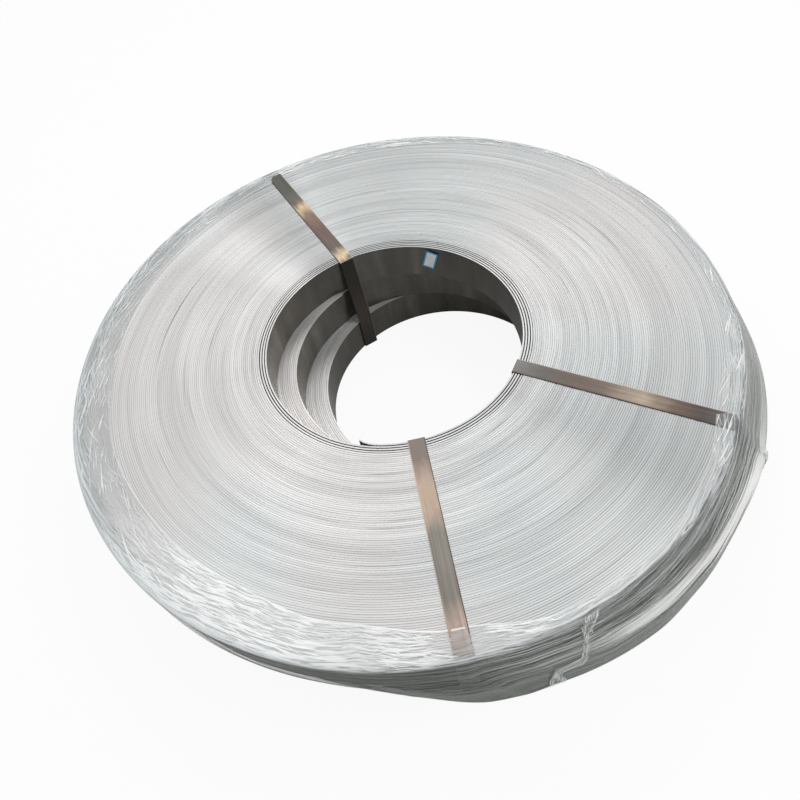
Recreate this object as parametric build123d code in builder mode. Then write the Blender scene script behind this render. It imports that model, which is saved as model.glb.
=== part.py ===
import os
from math import asin, atan2, cos, degrees, hypot, radians, sin, sqrt

from build123d import *

os.makedirs("parts", exist_ok=True)

# A pack of three narrow steel strip coils, stacked with their bores upright, held by three
# flat steel straps through the bores and wrapped in stretch film. Millimetres, +Z up, the
# underside of the straps at Z = 0, the middle of the pack's footprint at X = Y = 0. The
# front of the pack faces -Y.

# The strip and the coils
bore_diameter = 508.0
outer_diameter = 1300.0
strip_width = 84.0
strip_thickness = 4.0
middle_shift = (39.0, 9.0)  # middle coil's axis, seen from the top coil's axis
bottom_shift = (92.0, 13.0)  # bottom coil's axis, seen from the top coil's axis

# The loose inner turns of the top coil and the free end of its strip
loose_turns = 3
loose_gap = 1.2
inner_end_angle = -107.0  # where the free end leaves the bore wall
free_end_length = 33.0
free_end_lift = 7.0  # how far the tip stands off the next turn

# Turns that lie lower than their neighbours, as rings cut into the ends of the coils:
# distance from the bore wall as a share of the build-up, width, depth
top_rings = [
    [(0.17, 4.0, 1.0), (0.33, 12.0, 0.8), (0.52, 4.0, 1.2), (0.7, 14.0, 0.8)],
    [(0.12, 8.0, 0.8)],
    [(0.14, 8.0, 0.8)],
]
bottom_rings = [[], [], [(0.4, 8.0, 0.8)]]

# The straps: direction from the bore to the rim, and how far the strap's middle line
# passes beside the top coil's axis
strap_width = 31.75
strap_thickness = 0.9
strap_runs = {"back_left": (110.5, 28.0), "right": (-34.8, -4.0), "front": (-90.6, 0.0)}
strap_tail = 74.0  # length of the second layer under the seal
seal_length = 48.0
seal_thickness = 1.0
notch_width = 8.0
notch_depth = 3.5

# The stretch film, several layers thick where it is wound
film_thickness = 0.8
film_top_opening = 1200.0
film_top_shift = (25.0, 20.0)
film_bottom_opening = 1140.0
film_points = 72
bulge_slope = 8.0  # how gently the film rises to a seal

clearance = 0.3
touch = 1e-6  # heights closer than this are one level

# The blank sticker on the bore wall of the top coil
label_size = (28.0, 48.0)
label_thickness = 0.5
label_angle = 62.0
label_tilt = 17.0
label_depth = 34.0  # middle of the sticker below the top face

bore_radius = bore_diameter / 2
outer_radius = outer_diameter / 2
build_up = outer_radius - bore_radius
loose_pitch = strip_thickness + loose_gap
base_gap = strap_thickness + clearance
stack_height = 3 * strip_width
coil_floor = [base_gap + 2 * strip_width, base_gap + strip_width, base_gap]
top_axis = (-bottom_shift[0] / 2, -bottom_shift[1] / 2)
coil_axis = [
    top_axis,
    (top_axis[0] + middle_shift[0], top_axis[1] + middle_shift[1]),
    (top_axis[0] + bottom_shift[0], top_axis[1] + bottom_shift[1]),
]
coil_names = ["coil_top", "coil_middle", "coil_bottom"]
inner_end_angles = [inner_end_angle, 70.0, 215.0]
outer_end_angles = [150.0, 20.0, 255.0]
inner_pitches = [loose_pitch, strip_thickness, strip_thickness]
seal_height = base_gap + strap_thickness + clearance + seal_thickness


def polar(radius, angle):
    """A point of the plane at a radius and an angle in degrees."""
    return (radius * cos(radians(angle)), radius * sin(radians(angle)))


def spiral(start_radius, pitch, start_angle, turns=1):
    """Draws a flat spiral of half-circle arcs on two centres, wider by one pitch each turn."""
    arcs = []
    for k in range(2 * turns):
        centre = polar(pitch / 2, start_angle) if k % 2 else (0, 0)
        arcs.append(CenterArc(centre, start_radius + k * pitch / 2, start_angle + 180 * k, 180))
    return arcs


def spiral_radius(start_radius, pitch, start_angle, angle):
    """Radius of a one-turn spiral at an angle: the second half-circle widens it."""
    past = (angle - start_angle) % 360
    widening = 0 if past < 180 else 1 + cos(radians(past))
    return start_radius + pitch / 2 * widening


def closed_spiral(start_radius, pitch, start_angle):
    """Draws one turn of a spiral, closed by the step at the end of the strip."""
    first, last = spiral(start_radius, pitch, start_angle)
    Line(last @ 1, first @ 0)


def strip_coil(index):
    """One coil: a spiral outside and bore, with low turns as rings in both ends."""
    with BuildPart() as coil:
        with BuildSketch():
            with BuildLine():
                closed_spiral(outer_radius - strip_thickness, strip_thickness, outer_end_angles[index])
            make_face()
            with BuildLine():
                closed_spiral(bore_radius, inner_pitches[index], inner_end_angles[index])
            make_face(mode=Mode.SUBTRACT)
        extrude(amount=strip_width)
        for height, down, rings in ((strip_width, -1, top_rings[index]), (0, 1, bottom_rings[index])):
            for share, width, depth in rings:
                low_turns(bore_radius + share * build_up, height, width, down * depth)
        if index == 0:
            loose_inner_turns()
    return coil.part


def low_turns(radius, height, width, depth):
    """Cuts the shallow ring that some low turns leave in an end of the coil."""
    with BuildSketch(Plane.XZ) as ring:
        Polygon((radius - width / 2, height), (radius, height + depth), (radius + width / 2, height), align=None)
    revolve(ring.sketch, axis=Axis.Z, mode=Mode.SUBTRACT)


def loose_inner_turns():
    """Opens the gap between the innermost turns and bends the free end into the bore."""
    with BuildSketch() as gap:
        with BuildLine():
            face = spiral(bore_radius + strip_thickness, loose_pitch, inner_end_angle, loose_turns)
            back = spiral(bore_radius + loose_pitch, loose_pitch, inner_end_angle, loose_turns)
            Line(face[0] @ 0, back[0] @ 0)
            Line(face[-1] @ 1, back[-1] @ 1)
        make_face()
    extrude(gap.sketch, amount=strip_width, mode=Mode.SUBTRACT)
    bend = 1 / (1 / bore_radius + 2 * free_end_lift / free_end_length**2)
    turn = -degrees(free_end_length / bend)
    heading = polar(1, inner_end_angle - 90)
    with BuildSketch() as free_end:
        with BuildLine():
            inside = JernArc(polar(bore_radius, inner_end_angle), heading, bend, turn)
            outside = JernArc(
                polar(bore_radius + strip_thickness, inner_end_angle), heading, bend + strip_thickness, turn
            )
            Line(inside @ 0, outside @ 0)
            Line(inside @ 1, outside @ 1)
        make_face()
    extrude(free_end.sketch, amount=strip_width)


def convex_outline(points):
    """Corners of the tight loop round some points, anticlockwise."""
    def half(run):
        kept = []
        for p in run:
            while len(kept) > 1 and cross(kept[-2], kept[-1], p) <= touch:
                kept.pop()
            kept.append(p)
        return kept[:-1]

    def cross(a, b, c):
        return (b[0] - a[0]) * (c[1] - a[1]) - (b[1] - a[1]) * (c[0] - a[0])

    ordered = sorted(set(points))
    return half(ordered) + half(ordered[::-1])


def strap_plane(angle, beside):
    """Upright plane along a strap's middle line: local X outwards, local Y up."""
    across = (sin(radians(angle)), -cos(radians(angle)), 0)
    middle = (top_axis[0] + across[0] * beside, top_axis[1] + across[1] * beside, 0)
    return Plane(origin=middle, x_dir=(*polar(1, angle), 0), z_dir=across)


def coil_walls(angle, beside, index):
    """Where a strap meets one coil, along the strap's plane: bore side and outer side."""
    axis = strap_plane(angle, beside).to_local_coords(Vector(*coil_axis[index], 0))
    near_edge = max(abs(axis.Z) - strap_width / 2, 0)
    far_edge = abs(axis.Z) + strap_width / 2
    inner = min(
        spiral_radius(bore_radius, inner_pitches[index], inner_end_angles[index], angle + lean)
        for lean in (-degrees(asin(far_edge / bore_radius)), 0, degrees(asin(far_edge / bore_radius)))
    )
    outer = max(
        spiral_radius(outer_radius - strip_thickness, strip_thickness, outer_end_angles[index], angle + lean)
        for lean in (-degrees(asin(far_edge / outer_radius)), 0, degrees(asin(far_edge / outer_radius)))
    )
    near = axis.X + sqrt(inner**2 - far_edge**2)
    far = axis.X + sqrt(outer**2 - near_edge**2)
    stand_off = hypot(far - axis.X + base_gap, far_edge) - outer_radius
    return near, far, stand_off


def strap_route(angle, beside):
    """Corners of the tight loop that a strap makes round the walls of the three coils."""
    corners = []
    for i, floor in enumerate(coil_floor):
        near, far = coil_walls(angle, beside, i)[:2]
        for z in (floor, floor + strip_width):
            corners += [(near, z), (far, z)]
    return convex_outline(corners)


def seal_place(angle, beside):
    """Middle of the outer run at half the stack's height, and that run's slope."""
    route = strap_route(angle, beside)
    middle = sum(u for u, z in route) / len(route)
    half_height = base_gap + stack_height / 2
    for a, b in zip(route, route[1:] + route[:1]):
        if min(a[0], b[0]) > middle and a[1] < half_height <= b[1]:
            return ((a[0] + b[0]) / 2, (a[1] + b[1]) / 2), degrees(atan2(b[1] - a[1], b[0] - a[0]))


def seal_plane(angle, beside):
    """The strap's plane at the middle of its seal: local X away from the strap, Y along it."""
    (u, z), slope = seal_place(angle, beside)
    return Plane(strap_plane(angle, beside).location * Location((u, z, 0), (0, 0, slope - 90)))


def beside_strap(angle, beside, offset_out, length, thickness, width, taper=0):
    """A flat bar on the outer run of a strap, as a solid that joins the part in progress."""
    half = length / 2
    with BuildSketch(seal_plane(angle, beside)) as side:
        with BuildLine():
            Polyline(
                (offset_out, -half - taper),
                (offset_out + thickness, -half),
                (offset_out + thickness, half),
                (offset_out, half + taper),
                close=True,
            )
        make_face()
    extrude(side.sketch, amount=width / 2, both=True)


def strap_loop(angle, beside, grow, width, mode=Mode.ADD):
    """A plate in the strap's plane that fills its route, grown by a distance."""
    with BuildSketch(strap_plane(angle, beside)) as loop:
        with BuildLine():
            Polyline(*strap_route(angle, beside), close=True)
        make_face()
        offset(amount=grow)
    extrude(loop.sketch, amount=width / 2, both=True, mode=mode)


def steel_strap(angle, beside):
    """One strap: a tight loop of flat band, with its second layer under the seal."""
    with BuildPart() as strap:
        strap_loop(angle, beside, base_gap, strap_width)
        strap_loop(angle, beside, clearance, strap_width + 2 * clearance, Mode.SUBTRACT)
        beside_strap(angle, beside, clearance + strap_thickness, strap_tail, strap_thickness, strap_width)
    return strap.part


def strap_seal(angle, beside):
    """The crimped seal: a plate over both layers, folded round their edges, notched twice."""
    inside = strap_width + 2 * clearance
    outside = inside + 2 * seal_thickness
    layers = base_gap + strap_thickness + clearance
    with BuildPart() as seal:
        beside_strap(angle, beside, clearance, seal_length, seal_height - clearance, outside)
        with BuildSketch(seal_plane(angle, beside)):
            with Locations((layers / 2, 0)):
                Rectangle(layers, 2 * seal_length)
        extrude(amount=inside / 2, both=True, mode=Mode.SUBTRACT)
        with Locations(seal_plane(angle, beside).location):
            with GridLocations(0, seal_length / 2, 1, 2):
                for side in (-1, 1):
                    with Locations((0, 0, side * outside / 2)):
                        Box(3 * seal_height, notch_width, 2 * notch_depth, mode=Mode.SUBTRACT)
    return seal.part


def footprint(level):
    """Axis positions that the film has to clear at a level of the stack, floor to top."""
    ends = []
    for (x, y), floor in zip(coil_axis, coil_floor):
        ends += [(x, y, floor), (x, y, floor + strip_width)]
    found = [(x, y) for x, y, z in ends if abs(z - level) < touch]
    for x0, y0, z0 in ends:
        for x1, y1, z1 in ends:
            if z0 < level - touch and z1 > level + touch:
                share = (level - z0) / (z1 - z0)
                found.append((x0 + share * (x1 - x0), y0 + share * (y1 - y0)))
    return found


def film_outline(level, grow):
    """Draws the film's outline at a level: stretched tight round the coils in plan."""
    places = footprint(level)
    points = []
    for i in range(film_points):
        angle = 360 * i / film_points
        ux, uy = polar(1, angle)
        x, y = max(places, key=lambda p: p[0] * ux + p[1] * uy)
        points.append((x + (outer_radius + grow) * ux, y + (outer_radius + grow) * uy))
    Spline(*points, periodic=True)


def film_body(grow, lowest, highest):
    """The stack's stretched outer form, grown by a distance, between two heights."""
    levels = coil_floor[::-1] + [coil_floor[0] + strip_width]
    heights = [lowest] + levels[1:-1] + [highest]
    outlines = []
    for height, level in zip(heights, levels):
        with BuildSketch(Plane.XY.offset(height)) as outline:
            with BuildLine():
                film_outline(level, grow)
            make_face()
        outlines.append(outline.sketch)
    loft(outlines, ruled=True)


def film_gap():
    """How far the film's inside stands off the coils, to clear the straps."""
    reach = [coil_walls(*run, i)[2] for run in strap_runs.values() for i in range(len(coil_floor))]
    return max(reach) + clearance


def film_form(grow):
    """The form that the film is stretched over, grown by a distance, with bumps at the seals."""
    top = coil_floor[0] + strip_width + base_gap + clearance
    film_body(film_gap() + grow, base_gap - clearance - grow, top + grow)
    for angle, beside in strap_runs.values():
        width = strap_width + 2 * seal_thickness + 4 * clearance + 2 * grow
        beside_strap(
            angle, beside, 0, strap_tail + 2 * clearance, seal_height + clearance + grow, width, bulge_slope + grow
        )


def stretch_film():
    """The film: a skin over the outside, lapped over the top and the bottom margins."""
    top = coil_floor[0] + strip_width
    with BuildPart() as filling:
        film_form(0)
    with BuildPart() as film:
        film_form(film_thickness)
        add(filling.part, mode=Mode.SUBTRACT)
        with BuildSketch(Plane.XY.offset(top)):
            with Locations((top_axis[0] + film_top_shift[0], top_axis[1] + film_top_shift[1])):
                Circle(film_top_opening / 2)
        extrude(amount=10 * film_thickness, mode=Mode.SUBTRACT)
        with BuildSketch(Plane.XY.offset(base_gap)):
            with Locations(coil_axis[2]):
                Circle(film_bottom_opening / 2)
        extrude(amount=-10 * film_thickness, mode=Mode.SUBTRACT)
        for angle, beside in strap_runs.values():
            far = coil_walls(angle, beside, 2)[1] + base_gap + clearance
            with BuildSketch(strap_plane(angle, beside)):
                with Locations((far - bore_radius, 0)):
                    Rectangle(2 * bore_radius, 2 * base_gap)
            extrude(amount=strap_width / 2 + clearance, both=True, mode=Mode.SUBTRACT)
    return film.part


def bore_label():
    """The sticker: a small curved rectangle that follows the bore wall."""
    half_reach = degrees(max(label_size) / 2 / bore_radius)
    radius = spiral_radius(bore_radius, loose_pitch, inner_end_angle, label_angle - half_reach)
    facing = polar(1, label_angle)
    with BuildPart() as label:
        with BuildSketch():
            with Locations(top_axis):
                Circle(radius - clearance)
                Circle(radius - clearance - label_thickness, mode=Mode.SUBTRACT)
        extrude(amount=coil_floor[0] + strip_width)
        wall = Plane(
            origin=(top_axis[0] + facing[0] * radius, top_axis[1] + facing[1] * radius, label_height()),
            x_dir=(facing[1], -facing[0], 0),
            z_dir=(*facing, 0),
        )
        with BuildSketch(wall):
            Rectangle(*label_size, rotation=label_tilt)
        extrude(amount=10, both=True, mode=Mode.INTERSECT)
    return label.part


def label_height():
    """Height of the middle of the sticker."""
    return coil_floor[0] + strip_width - label_depth


def write(part, name):
    part.label = name
    export_step(part, f"parts/{name}.step")


for i, name in enumerate(coil_names):
    coil = strip_coil(i)
    write(coil.moved(Location((*coil_axis[i], coil_floor[i]))), name)

for name, (angle, beside) in strap_runs.items():
    write(steel_strap(angle, beside), f"strap_{name}")
    write(strap_seal(angle, beside), f"seal_{name}")

write(stretch_film(), "stretch_film")
write(bore_label(), "bore_label")
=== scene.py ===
import random
from math import cos, degrees, hypot, pi, radians, sin

import bpy
from mathutils import Matrix, Vector, noise


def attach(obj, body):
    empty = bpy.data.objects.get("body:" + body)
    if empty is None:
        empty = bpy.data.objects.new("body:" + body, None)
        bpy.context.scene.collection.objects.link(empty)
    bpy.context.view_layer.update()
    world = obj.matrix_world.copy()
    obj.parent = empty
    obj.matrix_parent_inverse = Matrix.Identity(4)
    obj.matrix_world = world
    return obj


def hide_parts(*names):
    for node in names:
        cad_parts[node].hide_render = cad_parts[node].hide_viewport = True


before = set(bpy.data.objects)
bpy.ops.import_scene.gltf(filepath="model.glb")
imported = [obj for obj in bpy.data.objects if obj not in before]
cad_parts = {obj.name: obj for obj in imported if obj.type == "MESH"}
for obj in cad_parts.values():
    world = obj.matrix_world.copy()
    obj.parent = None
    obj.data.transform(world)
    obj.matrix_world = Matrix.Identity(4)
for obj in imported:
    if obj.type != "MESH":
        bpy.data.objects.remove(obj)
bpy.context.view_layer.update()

# A strapped and wrapped pack of three narrow strip coils. Metres, +Z up, the front at -Y.

# The coils and the strip
bore_radius = 0.254
outer_radius = 0.650
strip_width = 0.084
strip_thickness = 0.004
coil_axis = {"top": (-0.046, -0.0065), "middle": (-0.007, 0.0025), "bottom": (0.046, 0.0065)}
coil_floor = {"top": 0.1692, "middle": 0.0852, "bottom": 0.0012}
top_face = coil_floor["top"] + strip_width
body_turns = 93  # of the top coil, outside its loose turns
full_turns = 98  # of the other two
edge_groove = 0.00028  # half the gap between two turns' edges
edge_round = 0.0011  # how far an edge rounds down into the gap
upper_unevenness = 0.0008  # how far the lowest turns lie below a coil's upper end
lower_unevenness = 0.0006  # and above the bottom coil's lower end

# The loose inner turns of the top coil
loose_pitch = 0.0052
free_end_angle = radians(-107)
free_end_length = 0.033
free_end_lift = 0.007
laid_in_angle = radians(150)  # where the last loose turn joins the body
loose_count = 3
loose_thinner = 0.0006  # so that the gaps between the loose turns show
loose_lower = 0.0003
loose_wave = 0.0004
strip_corner = 0.0004

# The film
film_stand_off = 0.0016
film_above = 0.0018  # over the top face
film_lowest = 0.0006
film_tuck = 0.075  # how far it is tucked under the bottom coil
film_cut = (4.18, 0.41)  # length round the pack and width, before it was wrapped
film_end_angle = radians(110.5)
film_columns = 620
film_rows = 70
film_lap_share = 0.25  # of the film's width, over the top face
film_side_share = 0.8125  # down to the floor; the rest is tucked under
film_pucker = 0.0016  # folds over the top face
film_ridge = 0.0026  # folds down the side
film_roll = 0.0020  # how far it rolls out over the rim
film_over_strap = 0.003  # how far it stands out where it rides over a strap
over_strap_angle = 0.035  # radians, to each side of a strap
tail_half_width = 0.0046  # of a gathered tail, as a share of the way round

# The straps: direction, how far each lies beside the axis, and their width
strap_runs = {
    "back_left": (radians(110.5), 0.028),
    "right": (radians(-34.8), -0.004),
    "front": (radians(-90.6), 0.0),
}
strap_width = 0.03175

# The sticker on the bore wall
label_angle = radians(62)
label_middle = top_face - 0.034
label_tilt = radians(17)
label_field = (0.0106, 0.0204)  # half width and half height inside the border


# ---- shared steps of the modelling

def select_nothing():
    if bpy.context.object and bpy.context.object.mode != "OBJECT":
        bpy.ops.object.mode_set(mode="OBJECT")
    bpy.ops.object.select_all(action="DESELECT")


def name_piece(name):
    piece = bpy.context.object
    piece.name = name
    piece.data.name = name
    return piece


def select_edges(piece, wanted):
    """Selects the edges of the piece in hand for which wanted(a, b) is true."""
    bpy.ops.mesh.select_mode(type="EDGE")
    bpy.ops.mesh.select_all(action="DESELECT")
    bpy.ops.object.mode_set(mode="OBJECT")
    points = piece.data.vertices
    for edge in piece.data.edges:
        a, b = (points[i].co for i in edge.vertices)
        edge.select = wanted(a, b)
    bpy.ops.object.mode_set(mode="EDIT")


def assign_by_normal(piece, slot_index, wanted):
    """Gives the faces whose middle and normal pass the test the material of a slot."""
    for face in piece.data.polygons:
        if wanted(face.center, face.normal):
            face.material_index = slot_index


# ---- the wound coils

def turn_heights(count, seed, depth):
    """How far each turn's edge lies below the coil's end: mostly level, some turns lower."""
    rng = random.Random(seed)
    heights = []
    low = 0.0
    for _ in range(count + 2):
        if rng.random() < 0.12:
            low = rng.choice((0.0, 0.0, 0.4, 0.8, 1.0))
        heights.append(-depth * min(1.0, low * rng.uniform(0.5, 1.0) + 0.35 * rng.random()))
    return heights


def wind_into_spiral(
    piece, level, ring_points, steps, pitch, start_angle, inner, heights, lower_heights
):
    """Sets every ring of the swept outline at its angle, wider by one pitch over the whole turn."""
    floor_z = coil_floor[level]
    x0, y0 = coil_axis[level]
    for number, point in enumerate(piece.data.vertices):
        ring = number // ring_points
        part = ring / steps
        radius = hypot(point.co.x, point.co.y)
        z = point.co.z
        turn = min(max((radius - inner) / pitch, 0), len(heights) - 2.001)
        k = int(turn + 1e-4)
        lift = 0.0
        if z > strip_width / 2:
            lift = heights[k] * (1 - part) + heights[k + 1] * part
        elif lower_heights:
            lift = -(lower_heights[k] * (1 - part) + lower_heights[k + 1] * part)
        angle = start_angle + 2 * pi * part
        radius += pitch * part
        point.co = (x0 + radius * cos(angle), y0 + radius * sin(angle), floor_z + z + lift)


def wound_coil(name, level, inner, turns, start_angle, steps, seed, both_ends=False):
    """A coil's wound body: the comb of its strip edges, swept once round and wound into a spiral."""
    pitch = (outer_radius - inner) / (turns + 1)
    select_nothing()
    bpy.ops.mesh.primitive_grid_add(
        x_subdivisions=turns, y_subdivisions=1, size=1, rotation=(pi / 2, 0, 0), calc_uvs=False
    )
    piece = name_piece(name)
    bpy.ops.object.transform_apply(location=False, rotation=True, scale=True)
    for point in piece.data.vertices:
        point.co = (inner + (point.co.x + 0.5) * turns * pitch, 0, (point.co.z + 0.5) * strip_width)
    bpy.ops.object.mode_set(mode="EDIT")
    bpy.ops.mesh.select_all(action="SELECT")
    bpy.ops.mesh.delete(type="ONLY_FACE")
    far_wall = inner + turns * pitch
    select_edges(
        piece,
        lambda a, b: abs(a.z - b.z) > strip_width / 2 and inner + pitch / 2 < a.x < far_wall - pitch / 2,
    )
    bpy.ops.mesh.delete(type="EDGE")
    lowest = 0 if both_ends else strip_width / 2
    select_edges(piece, lambda a, b: abs(a.z - b.z) < 1e-6 and a.z >= lowest)
    bpy.ops.mesh.subdivide(number_cuts=2)
    bpy.ops.object.mode_set(mode="OBJECT")
    for point in piece.data.vertices:
        share = (point.co.x - inner) / pitch
        within = share - int(share + 1e-4)
        up = 1 if point.co.z > strip_width / 2 else -1
        if 0.2 < within < 0.5:
            point.co.x += (edge_groove / pitch - within) * pitch
        elif 0.5 < within < 0.8:
            point.co.x += (1 - edge_groove / pitch - within) * pitch
        elif pitch / 2 < point.co.x - inner < far_wall - inner - pitch / 2 and (up > 0 or both_ends):
            point.co.z -= up * edge_round
    ring_points = len(piece.data.vertices)
    bpy.ops.object.mode_set(mode="EDIT")
    bpy.ops.mesh.select_mode(type="VERT")
    bpy.ops.mesh.select_all(action="SELECT")
    bpy.ops.mesh.spin(steps=steps, angle=2 * pi, center=(0, 0, 0), axis=(0, 0, 1), use_auto_merge=False)
    bpy.ops.object.mode_set(mode="OBJECT")
    heights = turn_heights(turns, seed, upper_unevenness)
    lower_heights = turn_heights(turns, seed + 50, lower_unevenness) if both_ends else None
    wind_into_spiral(piece, level, ring_points, steps, pitch, start_angle, inner, heights, lower_heights)
    bpy.ops.object.mode_set(mode="EDIT")
    bpy.ops.mesh.select_all(action="SELECT")
    bpy.ops.mesh.remove_doubles(threshold=0.00001)
    bpy.ops.mesh.fill_holes(sides=0)
    bpy.ops.mesh.select_all(action="SELECT")
    bpy.ops.mesh.normals_make_consistent(inside=False)
    bpy.ops.object.mode_set(mode="OBJECT")
    bpy.ops.object.shade_smooth_by_angle(angle=radians(30))
    return piece


def loose_inner_turns():
    """The three loose turns inside the top coil, one strip with its free end bent into the bore."""
    bend_angle = free_end_length / bore_radius
    sweep = (laid_in_angle - free_end_angle) + 2 * pi * loose_count + bend_angle
    steps = int(sweep / radians(2.25))
    select_nothing()
    bpy.ops.mesh.primitive_plane_add(size=1, rotation=(pi / 2, 0, 0))
    piece = name_piece("loose_inner_turns")
    bpy.ops.object.transform_apply(location=False, rotation=True, scale=True)
    for point in piece.data.vertices:
        out = (point.co.x + 0.5) * (strip_thickness - loose_thinner)
        point.co = (bore_radius + out, 0, (point.co.z + 0.5) * (strip_width - loose_lower))
    bpy.ops.object.mode_set(mode="EDIT")
    bpy.ops.mesh.select_all(action="SELECT")
    bpy.ops.mesh.bevel(affect="VERTICES", offset=strip_corner, segments=1)
    bpy.ops.mesh.select_all(action="SELECT")
    bpy.ops.mesh.delete(type="ONLY_FACE")
    bpy.ops.object.mode_set(mode="OBJECT")
    ring_points = len(piece.data.vertices)
    bpy.ops.object.mode_set(mode="EDIT")
    bpy.ops.mesh.select_mode(type="VERT")
    bpy.ops.mesh.select_all(action="SELECT")
    bpy.ops.mesh.spin(steps=steps, angle=sweep, center=(0, 0, 0), axis=(0, 0, 1), use_auto_merge=False)
    bpy.ops.object.mode_set(mode="OBJECT")
    x0, y0 = coil_axis["top"]
    for number, point in enumerate(piece.data.vertices):
        along = (number // ring_points) / steps * sweep - bend_angle
        radius = hypot(point.co.x, point.co.y) + loose_pitch * max(along, 0) / (2 * pi)
        radius -= free_end_lift * (min(along, 0) / bend_angle) ** 2
        angle = free_end_angle + along
        z = coil_floor["top"] + point.co.z
        if point.co.z >= strip_width / 2:
            z += loose_wave * noise.noise(Vector((along * 0.9, 3.1, 0))) - loose_lower
        point.co = (x0 + radius * cos(angle), y0 + radius * sin(angle), z)
    bpy.ops.object.mode_set(mode="EDIT")
    bpy.ops.mesh.select_all(action="SELECT")
    bpy.ops.mesh.fill_holes(sides=0)
    bpy.ops.mesh.select_all(action="SELECT")
    bpy.ops.mesh.normals_make_consistent(inside=False)
    bpy.ops.object.mode_set(mode="OBJECT")
    bpy.ops.object.shade_smooth_by_angle(angle=radians(30))
    return piece


# ---- the stretch film

def mix(a, b, share):
    return a + (b - a) * share


def near_angle(angle, other):
    """Distance between two directions, as a positive angle."""
    return abs((angle - other + pi) % (2 * pi) - pi)


def between_stops(stops, angle):
    """Smooth value at a direction, from (degrees, value) pairs that go once round."""
    degree = (degrees(angle) + 180) % 360 - 180
    for (a, value_a), (b, value_b) in zip(stops, stops[1:]):
        if a <= degree <= b:
            share = (degree - a) / (b - a)
            value = mix(value_a, value_b, share * share * (3 - 2 * share))
    return value


def lap_width(angle):
    """How far the film reaches over the top face at a direction from the top coil's axis."""
    stops = [(-180, 0.075), (-128, 0.088), (-108, 0.070), (-90, 0.048), (-76, 0.020), (-60, 0.014),
             (-45, 0.024), (-30, 0.040), (-12, 0.024), (40, 0.020), (90, 0.032), (135, 0.052),
             (180, 0.075)]
    uneven = noise.noise(Vector((cos(angle) * 3, sin(angle) * 3, 1.7)))
    return between_stops(stops, angle) + 0.004 * uneven


def flare(angle):
    """How far the slack film stands out from the bottom coil at the floor."""
    stops = [(-180, 0.001), (-125, 0.001), (-113, 0.005), (-107, 0.009), (-96, 0.019), (-91, 0.017),
             (-85, 0.012), (-68, 0.011), (-58, 0.005), (-46, 0.001), (-37, 0.004), (-30, 0.001),
             (-15, 0.002), (20, 0.001), (60, 0.001), (180, 0.001)]
    return between_stops(stops, angle)


def stretched_point(angle, z):
    """Where a tight wrap round the three coils runs at a height, in a direction of its normal."""
    ends = []
    for level in ("top", "middle", "bottom"):
        x, y = coil_axis[level]
        ends += [(x, y, coil_floor[level]), (x, y, coil_floor[level] + strip_width)]
    reach = None
    out = (cos(angle), sin(angle))
    for xa, ya, za in ends:
        for xb, yb, zb in ends:
            if za <= z <= zb:
                share = (z - za) / (zb - za) if zb > za else 0
                x, y = mix(xa, xb, share), mix(ya, yb, share)
                if reach is None or x * out[0] + y * out[1] > reach[0]:
                    reach = (x * out[0] + y * out[1], x, y)
    return reach[1], reach[2]


def film_point(u, v):
    """A place on the wrapped film, and how far it is from the film's inner edge."""
    angle = film_end_angle + 2 * pi * u
    out = Vector((cos(angle), sin(angle), 0))
    nearest_strap = min(near_angle(angle, run[0]) for run in strap_runs.values())
    over_strap = max(0.0, 1 - nearest_strap / over_strap_angle)
    crown = top_face + film_above
    lap = lap_width(angle)
    reach = outer_radius + film_stand_off
    if v < film_lap_share:
        x0, y0 = coil_axis["top"]
        share = v / film_lap_share
        pucker = film_pucker * noise.noise(Vector((out.x * 5, out.y * 5, share * 4)))
        z = crown - 0.0012 * (1 - share) * (1 - over_strap) + max(0, pucker) * sin(pi * share)
        radius = reach - lap * (1 - share)
        return Vector((x0 + radius * out.x, y0 + radius * out.y, z)), lap * share
    if v <= film_side_share:
        share = (v - film_lap_share) / (film_side_share - film_lap_share)
        z = mix(crown, film_lowest, share)
        x0, y0 = stretched_point(angle, min(max(z, coil_floor["bottom"]), top_face))
        ridge = noise.noise(Vector((out.x * 3, out.y * 3, share * 9)))
        reach += (film_ridge * max(0, ridge) + film_over_strap * over_strap) * sin(pi * share)
        reach += flare(angle) * share ** 1.4
        reach += film_roll * sin(pi * min(share * 9, 1))
        return Vector((x0 + reach * out.x, y0 + reach * out.y, z)), lap + share * crown
    x0, y0 = coil_axis["bottom"]
    share = (v - film_side_share) / (1 - film_side_share)
    reach += flare(angle) * (1 - share) - film_tuck * share
    return Vector((x0 + reach * out.x, y0 + reach * out.y, film_lowest)), lap + crown + film_tuck * share


def wrap_film():
    """The film: a flat sheet with its own grid of places, wrapped round the pack and joined."""
    select_nothing()
    bpy.ops.mesh.primitive_grid_add(
        x_subdivisions=film_columns, y_subdivisions=film_rows, size=1, calc_uvs=True
    )
    piece = name_piece("film")
    laid = []
    for point in piece.data.vertices:
        u = point.co.x + 0.5
        point.co, run = film_point(u, point.co.y + 0.5)
        laid.append((u * film_cut[0], run))
    lay_out(piece, laid)
    bpy.ops.object.mode_set(mode="EDIT")
    bpy.ops.mesh.select_all(action="SELECT")
    bpy.ops.mesh.remove_doubles(threshold=0.00002)
    bpy.ops.mesh.select_all(action="SELECT")
    bpy.ops.mesh.normals_make_consistent(inside=False)
    bpy.ops.object.mode_set(mode="OBJECT")
    bpy.ops.object.shade_smooth()
    return piece


def lay_out(piece, laid):
    """Writes the UV map in metres, from each point's place on the sheet."""
    layer = piece.data.uv_layers.active.data
    for corner in piece.data.loops:
        layer[corner.index].uv = laid[corner.vertex_index]


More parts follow.
